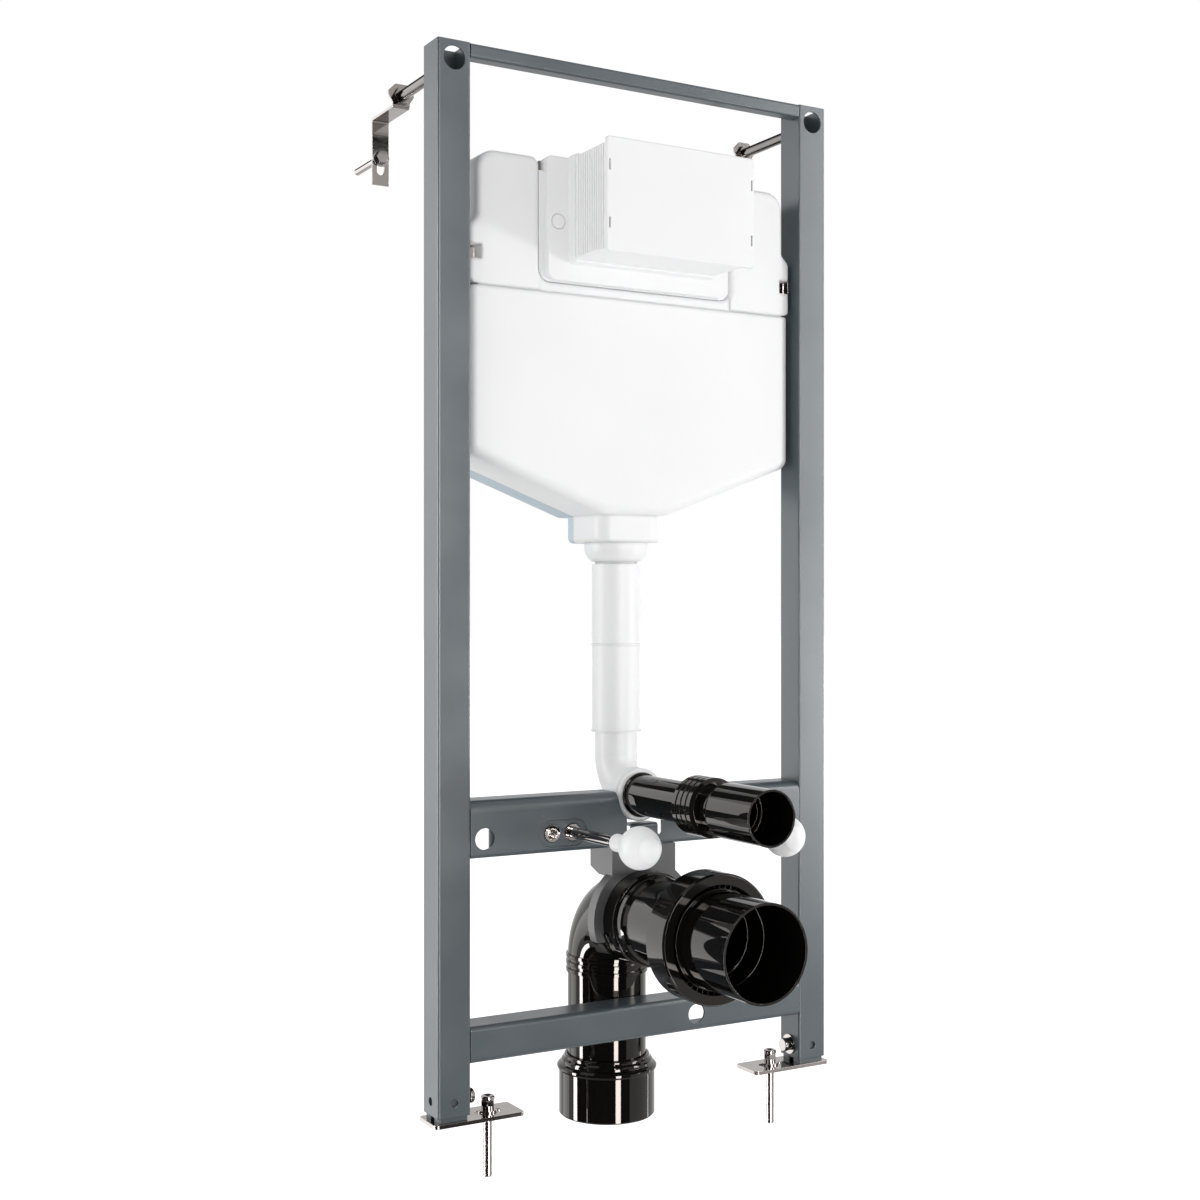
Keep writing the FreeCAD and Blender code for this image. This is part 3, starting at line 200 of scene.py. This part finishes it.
class Nodes:
    """Short hand for the nodes of one material."""

    def __init__(self, name):
        self.material = bpy.data.materials.new(name)
        self.material.use_nodes = True
        self.tree = self.material.node_tree
        self.shader = next(n for n in self.tree.nodes if n.type == "BSDF_PRINCIPLED")
        self.coordinates = self.add("ShaderNodeTexCoord").outputs["Object"]

    def add(self, kind, **values):
        """A new node with its properties and input values set."""
        node = self.tree.nodes.new(kind)
        for name, value in values.items():
            if name in node.inputs:
                node.inputs[name].default_value = value
            else:
                setattr(node, name, value)
        return node

    def link(self, output, socket):
        """Joins an output to a socket."""
        self.tree.links.new(output, socket)

    def noise(self, scale, detail, stretch=None):
        """Noise on the object's own coordinates, stretched along an axis if asked."""
        source = self.coordinates
        if stretch:
            mapping = self.add("ShaderNodeMapping", Scale=stretch)
            self.link(source, mapping.inputs["Vector"])
            source = mapping.outputs["Vector"]
        node = self.add("ShaderNodeTexNoise", Scale=scale, Detail=detail)
        self.link(source, node.inputs["Vector"])
        return node.outputs["Fac"]

    def spread(self, value, low, high):
        """Noise remapped to a range."""
        node = self.add("ShaderNodeMapRange")
        node.inputs["From Min"].default_value = noise_low
        node.inputs["From Max"].default_value = noise_high
        node.inputs["To Min"].default_value = low
        node.inputs["To Max"].default_value = high
        self.link(value, node.inputs["Value"])
        return node.outputs["Result"]

    def colour_between(self, value, first, second):
        """Colour that varies between two tones by noise."""
        node = self.add("ShaderNodeMix", data_type="RGBA")
        ends = [socket for socket in node.inputs if socket.type == "RGBA"]
        ends[0].default_value = rgba(first)
        ends[1].default_value = rgba(second)
        self.link(self.spread(value, 0.0, 1.0), node.inputs["Factor"])
        mixed = next(socket for socket in node.outputs if socket.type == "RGBA")
        self.link(mixed, self.shader.inputs["Base Color"])

    def bump(self, value, relief, strength, edge):
        """Fine relief, over edges softened by a small radius, both in millimetres."""
        node = self.add("ShaderNodeBump", Strength=strength, Distance=relief * MM)
        self.link(value, node.inputs["Height"])
        if edge:
            bevel = self.add("ShaderNodeBevel", samples=4, Radius=edge * MM)
            self.link(bevel.outputs["Normal"], node.inputs["Normal"])
        self.link(node.outputs["Normal"], self.shader.inputs["Normal"])


def plastic(name, colour, rough, relief, edge, specular, spread, tint=(1, 1, 1)):
    """Moulded plastic: slight cloudiness, a fine moulded skin and softened edges."""
    n = Nodes(name)
    cloud = n.noise(scale=9.0, detail=2.0)
    n.colour_between(cloud, tone(colour, 1 - spread), tone(colour, 1 + spread))
    skin = n.noise(scale=700.0, detail=2.0)
    n.link(n.spread(cloud, rough * 0.85, rough * 1.15), n.shader.inputs["Roughness"])
    n.shader.inputs["Specular IOR Level"].default_value = specular
    n.shader.inputs["Specular Tint"].default_value = rgba(tint)
    n.bump(skin, relief, strength=0.6, edge=edge)
    return n.material


def powder_coat(name, colour):
    """Powder coat: orange peel relief and a satin sheen that varies a little."""
    n = Nodes(name)
    cloud = n.noise(scale=14.0, detail=3.0)
    n.colour_between(cloud, tone(colour, 0.97), tone(colour, 1.03))
    peel = n.noise(scale=1400.0, detail=3.0)
    n.link(n.spread(cloud, 0.28, 0.34), n.shader.inputs["Roughness"])
    n.shader.inputs["Specular IOR Level"].default_value = 0.5
    n.bump(peel, relief=0.06, strength=0.5, edge=0.9)
    return n.material


def metal(name, colour, rough, grain):
    """Bright metal with a faint drawn grain along one axis."""
    n = Nodes(name)
    cloud = n.noise(scale=30.0, detail=3.0)
    n.colour_between(cloud, tone(colour, 0.93), tone(colour, 1.05))
    lines = n.noise(scale=900.0, detail=2.0, stretch=grain)
    n.link(n.spread(lines, rough * 0.7, rough * 1.3), n.shader.inputs["Roughness"])
    n.shader.inputs["Metallic"].default_value = 1.0
    n.bump(lines, relief=0.02, strength=0.35, edge=0.4)
    return n.material


def white(name, relief, edge, specular):
    """White moulded plastic."""
    return plastic(name, white_colour, rough=0.42, relief=relief, edge=edge, specular=specular,
                   spread=0.008)


def black(name, colour, rough):
    """Glossy black moulding, brown where it catches the light."""
    return plastic(name, colour, rough=rough, relief=0.0, edge=0.6, specular=0.33, spread=0.1,
                   tint=brown_tint)


grain_along_x = (0.08, 1.0, 1.0)
grain_along_y = (1.0, 0.05, 1.0)
materials = {
    "frame_paint": powder_coat("frame_paint", paint_colour),
    "zinc": metal("zinc", zinc_colour, rough=0.10, grain=grain_along_x),
    "steel": metal("steel", steel_colour, rough=0.09, grain=grain_along_y),
    "white_plastic": white("white_plastic", relief=0.03, edge=1.2, specular=0.16),
    "blue_plastic": plastic("blue_plastic", blue_colour, rough=0.45, relief=0.03, edge=1.2, specular=0.4,
                            spread=0.02),
    "black_plastic": black("black_plastic", black_colour, rough=0.025),
    "black_rubber": black("black_rubber", rubber_colour, rough=0.06),
    "bracket_grey": powder_coat("bracket_grey", bracket_colour),
}

# Nodes with a finish of their own: fine ribs, large soft mouldings, and the rods, whose steel is painted
# darker as painted shade in their reflections
ribbed_plastic = white("ribbed_plastic", relief=0.0, edge=0.0, specular=0.16)
soft_plastic = white("soft_plastic", relief=0.03, edge=6.0, specular=0.14)
shaded_steel = metal("shaded_steel", shaded_steel_colour, rough=0.09, grain=grain_along_y)
own_materials = {
    "access_box": ribbed_plastic,
    "cistern_hood": soft_plastic,
    "cistern_tank": soft_plastic,
    "outlet_nut": soft_plastic,
    "left_wall_rod": shaded_steel,
    "right_wall_rod": shaded_steel,
}


def finish_cad_nodes():
    """Gives every node of the frame its own material or that of its slot."""
    for subpart in frame["record"]["subparts"]:
        node = frame["nodes"][subpart["node"]]
        finish = own_materials.get(subpart["node"], materials[subpart["material_slot"]])
        node.data.materials.clear()
        node.data.materials.append(finish)


finish_cad_nodes()


class Mesh:
    """A small piece that is put together point by point."""

    def __init__(self):
        self.maker = bmesh.new()

    def ring(self, points):
        """New points of one closed outline."""
        return [self.maker.verts.new(p) for p in points]

    def sew(self, first, second):
        """Faces between two closed outlines with as many points."""
        count = len(first)
        for i in range(count):
            j = (i + 1) % count
            self.maker.faces.new((first[i], first[j], second[j], second[i]))

    def tube(self, path, r, sides, closed):
        """A round wire of radius r along points that wind round the y axis."""
        rings = []
        count = len(path)
        for i, here in enumerate(path):
            ahead = path[(i + 1) % count] if closed or i + 1 < count else here
            back = path[i - 1] if closed or i > 0 else here
            along = (ahead - back).normalized()
            side = along.cross(Vector((0, 1, 0))).normalized()
            up = side.cross(along)
            turns = [2 * math.pi * k / sides for k in range(sides)]
            points = [here + (side * math.cos(a) + up * math.sin(a)) * r * MM for a in turns]
            rings.append(self.ring(points))
        for i in range(count if closed else count - 1):
            self.sew(rings[i], rings[(i + 1) % count])
        if not closed:
            self.maker.faces.new(rings[0])
            self.maker.faces.new(rings[-1])

    def slab(self, outline, y, depth):
        """A flat outline of x and z pairs with its front at y, pushed back by a depth."""
        corners = [place(x, y, z) for x, z in outline]
        near = self.ring(corners)
        far = self.ring([corner + Vector((0, depth * MM, 0)) for corner in corners])
        self.sew(near, far)
        self.maker.faces.new(near)
        self.maker.faces.new(far)

    def finish(self, name, slot, smooth=True, edge=0.0):
        """Makes the piece, gives it its slot's material and lets it ride on the frame."""
        bmesh.ops.recalc_face_normals(self.maker, faces=self.maker.faces)
        mesh = bpy.data.meshes.new(name)
        self.maker.to_mesh(mesh)
        self.maker.free()
        for face in mesh.polygons:
            face.use_smooth = smooth
        piece = bpy.data.objects.new(name, mesh)
        bpy.context.collection.objects.link(piece)
        mesh.materials.append(materials[slot])
        if edge:
            soft = piece.modifiers.new("edge", "BEVEL")
            soft.width = edge * MM
            soft.segments = 2
        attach(piece, "frame")


def bore_beads(name, front, height, beads, wire_r):
    """Thin beads on the steps inside a bore on the centre plane."""
    piece = Mesh()
    turns = [2 * math.pi * i / bead_points for i in range(bead_points)]
    for depth, r in beads:
        circle = [place(r * math.cos(a), front + depth, height + r * math.sin(a)) for a in turns]
        piece.tube(circle, wire_r, bead_sides, closed=True)
    piece.finish(name, "black_plastic")


def bush_thread(name, x):
    """Thread inside an open bush: a ridge that winds along the bore."""
    piece = Mesh()
    path = []
    turns = int(thread_length / thread_pitch)
    for i in range(thread_steps * turns + 1):
        a = 2 * math.pi * i / thread_steps
        y = bush_front + thread_inset + thread_pitch * i / thread_steps
        path.append(place(x + thread_r * math.cos(a), y, bush_z + thread_r * math.sin(a)))
    piece.tube(path, thread_wire_r, thread_sides, closed=False)
    piece.finish(name, "zinc")


def socket_arc(r, half):
    """Points of an arc round the waste axis, on the tab's side and as wide as half to each side."""
    middle = math.radians(clip_turn)
    turns = [middle + (2 * i / clip_steps - 1) * half / socket_r for i in range(clip_steps + 1)]
    return [(r * math.cos(a), waste_z + r * math.sin(a)) for a in turns]


def socket_clip():
    """Black snap tab on the left of the bend's socket, in front of the saddle's arm."""
    piece = Mesh()
    foot = socket_arc(clip_foot_r, clip_foot_half) + socket_arc(clip_inner_r, clip_foot_half)[::-1]
    nose = socket_arc(clip_nose_r, clip_nose_half) + socket_arc(clip_inner_r, clip_nose_half)[::-1]
    piece.slab(foot, clip_y, clip_foot_length)
    piece.slab(nose, clip_y - clip_nose_length, clip_nose_length)
    piece.finish("socket_clip", "black_plastic", smooth=False, edge=clip_edge)


def hood_catch(name, side):
    """Small folded metal catch in the gap between a lobe of the hood and the panel."""
    plate = [(catch_inner_x, catch_low), (catch_outer_x, catch_low), (catch_outer_x, catch_shoulder),
             (catch_corner_x, catch_top), (catch_inner_x, catch_top)]
    hook = [(hook_inner_x, hook_low), (hook_outer_x, hook_low),
            (hook_outer_x, hook_top), (hook_inner_x, hook_top)]
    piece = Mesh()
    piece.slab([(side * x, z) for x, z in plate], catch_y, catch_sheet)
    piece.slab([(side * x, z) for x, z in hook], hook_y, hook_depth)
    piece.finish(name, "zinc", smooth=False, edge=catch_edge)


bore_beads("waste_mouth_beads", mouth_front, waste_z, mouth_beads, mouth_wire_r)
bore_beads("flush_sleeve_beads", sleeve_front, flush_z, sleeve_beads, sleeve_wire_r)
bush_thread("left_bush_thread", -bush_x)
bush_thread("right_bush_thread", bush_x)
socket_clip()
hood_catch("left_hood_catch", -1)
hood_catch("right_hood_catch", 1)


def stage_floor():
    """Pale floor under the frame, white to the camera, which throws a little light back up."""
    mesh = bpy.data.meshes.new("floor")
    maker = bmesh.new()
    bmesh.ops.create_grid(maker, x_segments=1, y_segments=1, size=floor_half_metres)
    maker.to_mesh(mesh)
    maker.free()
    floor = bpy.data.objects.new("floor", mesh)
    floor.location = place(0, 0, floor_drop)
    bpy.context.collection.objects.link(floor)
    n = Nodes("floor")
    n.shader.inputs["Base Color"].default_value = rgba(floor_colour)
    n.shader.inputs["Roughness"].default_value = 1.0
    n.shader.inputs["Specular IOR Level"].default_value = 0.0
    n.shader.inputs["Emission Color"].default_value = (1, 1, 1, 1)
    rays = n.add("ShaderNodeLightPath")
    seen = rays.outputs["Is Camera Ray"]
    for ray in ("Is Transmission Ray", "Is Glossy Ray"):
        either = n.add("ShaderNodeMath", operation="MAXIMUM")
        n.link(seen, either.inputs[0])
        n.link(rays.outputs[ray], either.inputs[1])
        seen = either.outputs[0]
    glow = n.add("ShaderNodeMapRange")
    glow.inputs["To Min"].default_value = floor_bounce
    glow.inputs["To Max"].default_value = floor_glow
    n.link(seen, glow.inputs["Value"])
    n.link(glow.outputs["Result"], n.shader.inputs["Emission Strength"])
    mesh.materials.append(n.material)
    floor.visible_glossy = False


def world_light():
    """Even white surroundings, a plain level for diffuse light and full white where they are seen."""
    world = bpy.data.worlds.new("studio")
    bpy.context.scene.world = world
    world.use_nodes = True
    tree = world.node_tree
    background = tree.nodes["Background"]
    background.inputs["Color"].default_value = (1, 1, 1, 1)
    rays = tree.nodes.new("ShaderNodeLightPath")
    value = None
    levels = (("Is Camera Ray", 1.0), ("Is Transmission Ray", 1.0), ("Is Glossy Ray", world_gloss))
    for ray, level in levels:
        step = tree.nodes.new("ShaderNodeMapRange")
        step.inputs["To Max"].default_value = level
        step.inputs["To Min"].default_value = world_level
        if value:
            tree.links.new(value, step.inputs["To Min"])
        tree.links.new(rays.outputs[ray], step.inputs["Value"])
        value = step.outputs["Result"]
    tree.links.new(value, background.inputs["Strength"])


def lamp(name, at, toward, width, height, power):
    """A rectangular soft box at a place, turned toward another."""
    data = bpy.data.lights.new(name, "AREA")
    data.shape = "RECTANGLE"
    data.size = width * MM
    data.size_y = height * MM
    data.energy = power
    lit = bpy.data.objects.new(name, data)
    lit.location = place(*at)
    aim = place(*toward) - lit.location
    lit.rotation_mode = "QUATERNION"
    lit.rotation_quaternion = aim.to_track_quat("-Z", "Y")
    lit.visible_camera = False
    bpy.context.collection.objects.link(lit)
    return lit


def gloss_lamp(name, at, toward, width, height, power):
    """A soft box that only shows in reflections."""
    lit = lamp(name, at, toward, width, height, power)
    lit.visible_diffuse = False
    lit.visible_transmission = False


def strip(name, direction, width, radiance):
    """A tall upright strip that only shows in reflections, in a direction seen from the drain."""
    height = strip_top - strip_low
    middle = (strip_top + strip_low) / 2
    turn = math.radians(direction)
    at = (strip_distance * math.sin(turn), drain_y - strip_distance * math.cos(turn), middle)
    power = radiance * math.pi * width * MM * height * MM
    gloss_lamp(name, at, (0, drain_y, middle), width, height, power)


def dark_screen(name, start, end, low, high, tones):
    """Dark curved screen between two directions and two heights, seen only in reflections."""
    mesh = bpy.data.meshes.new(name)
    maker = bmesh.new()
    pairs = []
    for i in range(screen_steps + 1):
        turn = math.radians(start + (end - start) * i / screen_steps)
        x = screen_distance * math.sin(turn)
        y = -screen_distance * math.cos(turn)
        pairs.append([maker.verts.new(place(x, y, z)) for z in (low, high)])
    for (a, b), (c, d) in zip(pairs, pairs[1:]):
        maker.faces.new((a, c, d, b))
    maker.to_mesh(mesh)
    maker.free()
    screen = bpy.data.objects.new(name, mesh)
    bpy.context.collection.objects.link(screen)
    n = Nodes(name)
    n.colour_between(n.noise(scale=1.5, detail=2.0), *tones)
    n.shader.inputs["Roughness"].default_value = 1.0
    mesh.materials.append(n.material)
    screen.visible_camera = False
    screen.visible_diffuse = False
    screen.visible_transmission = False
    screen.visible_shadow = False


stage_floor()
world_light()
lamp("key", at=(2050, -1430, 255), toward=(0, 0, 560), width=300, height=400, power=key_power)
lamp("left_fill", at=(-2300, -500, 700), toward=(0, 0, 600), width=1400, height=1800, power=left_power)
strip("strip_front", direction=-3.2, width=480, radiance=strip_radiance)
strip("strip_left", direction=-110.5, width=420, radiance=strip_radiance)
strip("strip_left_thin", direction=-77.6, width=70, radiance=strip_radiance * left_thin_share)
strip("strip_right_thin", direction=85.8, width=90, radiance=strip_radiance * right_thin_share)
gloss_lamp("high_strip", at=(2150, -1750, 1050), toward=(231, 0, 900), width=500, height=2600,
           power=high_power)
gloss_lamp("back_glow", at=(-1850, 2750, 600), toward=(0, 0, 600), width=1500, height=5000,
           power=back_power)
dark_screen("dark_screen_front", start=-108, end=5, low=-4000, high=5000, tones=brown_dark)
dark_screen("dark_screen_back", start=125, end=235, low=2150, high=6500, tones=plain_dark)
dark_screen("dark_screen_low_right", start=5, end=26, low=-4500, high=-450, tones=brown_dark)
dark_screen("dark_screen_low", start=125, end=235, low=-4500, high=-1500, tones=blue_dark)


def photo_camera():
    """The camera at the photograph's place."""
    data = bpy.data.cameras.new("camera")
    data.sensor_width = camera_sensor
    data.lens = camera_lens
    data.shift_y = camera_shift_y
    data.clip_start = camera_nearest_metres
    data.clip_end = camera_farthest_metres
    camera = bpy.data.objects.new("camera", data)
    camera.location = place(*camera_place)
    camera.rotation_euler = (math.radians(90), 0, math.radians(camera_turn))
    bpy.context.collection.objects.link(camera)
    bpy.context.scene.camera = camera


photo_camera()

bpy.context.scene.view_settings.view_transform = "Standard"
